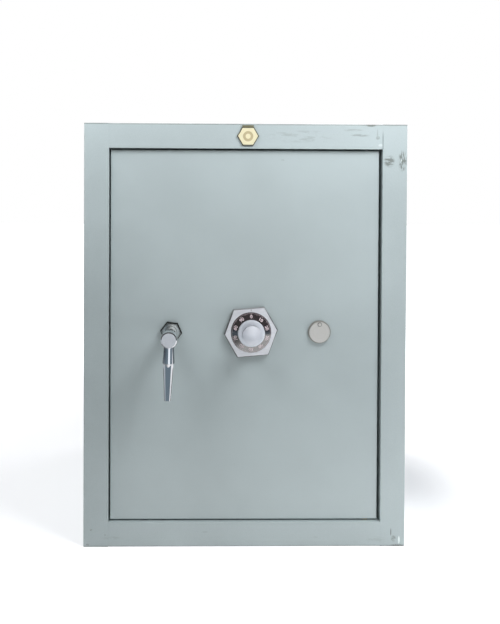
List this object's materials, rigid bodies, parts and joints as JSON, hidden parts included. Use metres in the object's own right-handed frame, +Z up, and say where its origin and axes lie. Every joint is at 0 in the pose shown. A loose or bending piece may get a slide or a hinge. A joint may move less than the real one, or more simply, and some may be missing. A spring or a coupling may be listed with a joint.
{
  "type": "metal safe",
  "caption": "Upright metal safe with a recessed hinged door, hanging lever, round dial in a hexagonal ring and covered keyhole; sliding boltwork inside.",
  "frame": {"origin": "centre of the base's underside", "axes": "+X to the right seen from the front, +Y from the door to the rear, +Z up"},
  "size_m": [0.524, 0.515, 0.688],
  "materials": {
    "enamel": "satin",
    "inner_paint": "satin",
    "mineral_filling": "rough",
    "plain_steel": "machined",
    "zinc_steel": "zinc plated",
    "cast_zinc": "as cast",
    "brass": "machined",
    "chrome": "polished",
    "satin_chrome": "satin",
    "dial_black": "gloss",
    "nickel": "brushed nickel",
    "dark_nickel": "darkened nickel",
    "cream_enamel": "gloss"
  },
  "bodies": {
    "safe_body": {"outer_casing": "enamel", "rear_plate": "enamel", "frame_left_stile": "enamel", "frame_right_stile": "enamel", "frame_top_rail": "enamel", "frame_bottom_rail": "enamel", "strike_plate": "inner_paint", "dog_plate": "inner_paint", "inner_liner": "inner_paint", "liner_back": "inner_paint", "wall_filling": "mineral_filling", "badge_plate": "cream_enamel", "pivot_pins": "plain_steel", "thrust_washer": "brass", "shelf_strips": "zinc_steel", "shelf_clips": "zinc_steel", "shelf": "inner_paint"},
    "door": {"front_pan": "enamel", "pivot_blocks": "plain_steel", "door_filling": "mineral_filling", "door_back_plate": "plain_steel", "spindle_sleeves": "plain_steel", "keyhole_tube": "plain_steel", "boltwork_box": "inner_paint", "rear_cover": "inner_paint", "cover_screws": "zinc_steel", "hinge_dogs": "plain_steel", "lever_rosette": "chrome", "guide_plate": "plain_steel", "bolt_bushes": "brass", "guide_studs": "plain_steel", "dial_ring": "satin_chrome", "lock_case": "cast_zinc", "lock_cover": "zinc_steel", "wheel_post": "brass", "key_lock_case": "cast_zinc", "key_lock_cover": "zinc_steel", "keyhole_plate": "dark_nickel", "cover_rivet": "nickel"},
    "lever": {"lever_handle": "chrome", "lever_spindle": "plain_steel", "spindle_clip": "plain_steel", "crank": "plain_steel"},
    "boltwork": {"locking_bolts": "plain_steel", "bolt_carrier": "plain_steel", "bolt_screws": "zinc_steel", "drive_plate": "plain_steel", "lock_arm": "plain_steel"},
    "dial": {"dial_plate": "dial_black", "dial_knob": "chrome", "dial_spindle": "plain_steel", "drive_cam": "brass"},
    "wheel_1": {"lock_wheel_1": "brass"},
    "wheel_2": {"lock_wheel_2": "brass"},
    "wheel_3": {"lock_wheel_3": "brass"},
    "lock_bolt": {"lock_bolt": "brass"},
    "fence": {"fence_lever": "brass"},
    "key_bolt": {"key_bolt": "brass"},
    "key_levers": {"key_levers": "plain_steel"},
    "keyhole_cover": {"keyhole_cover": "nickel"}
  },
  "joints": [
    {"name": "door_hinge", "type": "hinge", "parent": "safe_body", "child": "door", "pos_m": [0.1995, -0.208, 0.3], "axis": [0, 0, 1], "range_deg": [0, 105]},
    {"name": "lever_turn", "type": "hinge", "parent": "door", "child": "lever", "pos_m": [-0.1205, -0.22, 0.35], "axis": [0, 1, 0], "range_deg": [0, 90]},
    {"name": "boltwork_slide", "type": "slide", "parent": "door", "child": "boltwork", "axis": [-1, 0, 0], "range_m": [0, 0.01985]},
    {"name": "dial_spin", "type": "hinge", "parent": "door", "child": "dial", "pos_m": [0.009, -0.22, 0.35], "axis": [0, 1, 0], "continuous": true},
    {"name": "wheel_1_spin", "type": "hinge", "parent": "door", "child": "wheel_1", "pos_m": [0.009, -0.175, 0.35], "axis": [0, 1, 0], "continuous": true},
    {"name": "wheel_2_spin", "type": "hinge", "parent": "door", "child": "wheel_2", "pos_m": [0.009, -0.171, 0.35], "axis": [0, 1, 0], "continuous": true},
    {"name": "wheel_3_spin", "type": "hinge", "parent": "door", "child": "wheel_3", "pos_m": [0.009, -0.167, 0.35], "axis": [0, 1, 0], "continuous": true},
    {"name": "lock_bolt_slide", "type": "slide", "parent": "door", "child": "lock_bolt", "axis": [0, 0, 1], "range_m": [0, 0.01]},
    {"name": "fence_lever_lift", "type": "hinge", "parent": "lock_bolt", "child": "fence", "pos_m": [0.018, -0.1807, 0.3867], "axis": [0, 1, 0], "range_deg": [0, 5]},
    {"name": "key_bolt_slide", "type": "slide", "parent": "door", "child": "key_bolt", "axis": [0, 0, 1], "range_m": [0, 0.01]},
    {"name": "key_levers_lift", "type": "hinge", "parent": "door", "child": "key_levers", "pos_m": [0.108, -0.1813, 0.3637], "axis": [0, -1, 0], "range_deg": [0, 6]},
    {"name": "keyhole_cover_swing", "type": "hinge", "parent": "door", "child": "keyhole_cover", "pos_m": [0.121, -0.2244, 0.3626], "axis": [0, 1, 0], "range_deg": [-120, 120]}
  ],
  "couplings": [
    {"joint": "boltwork_slide", "follows": "lever_turn", "m_per_rad": 0.012604},
    {"joint": "wheel_1_spin", "follows": "dial_spin", "ratio": 1},
    {"joint": "wheel_2_spin", "follows": "dial_spin", "ratio": 1},
    {"joint": "wheel_3_spin", "follows": "dial_spin", "ratio": 1}
  ]
}
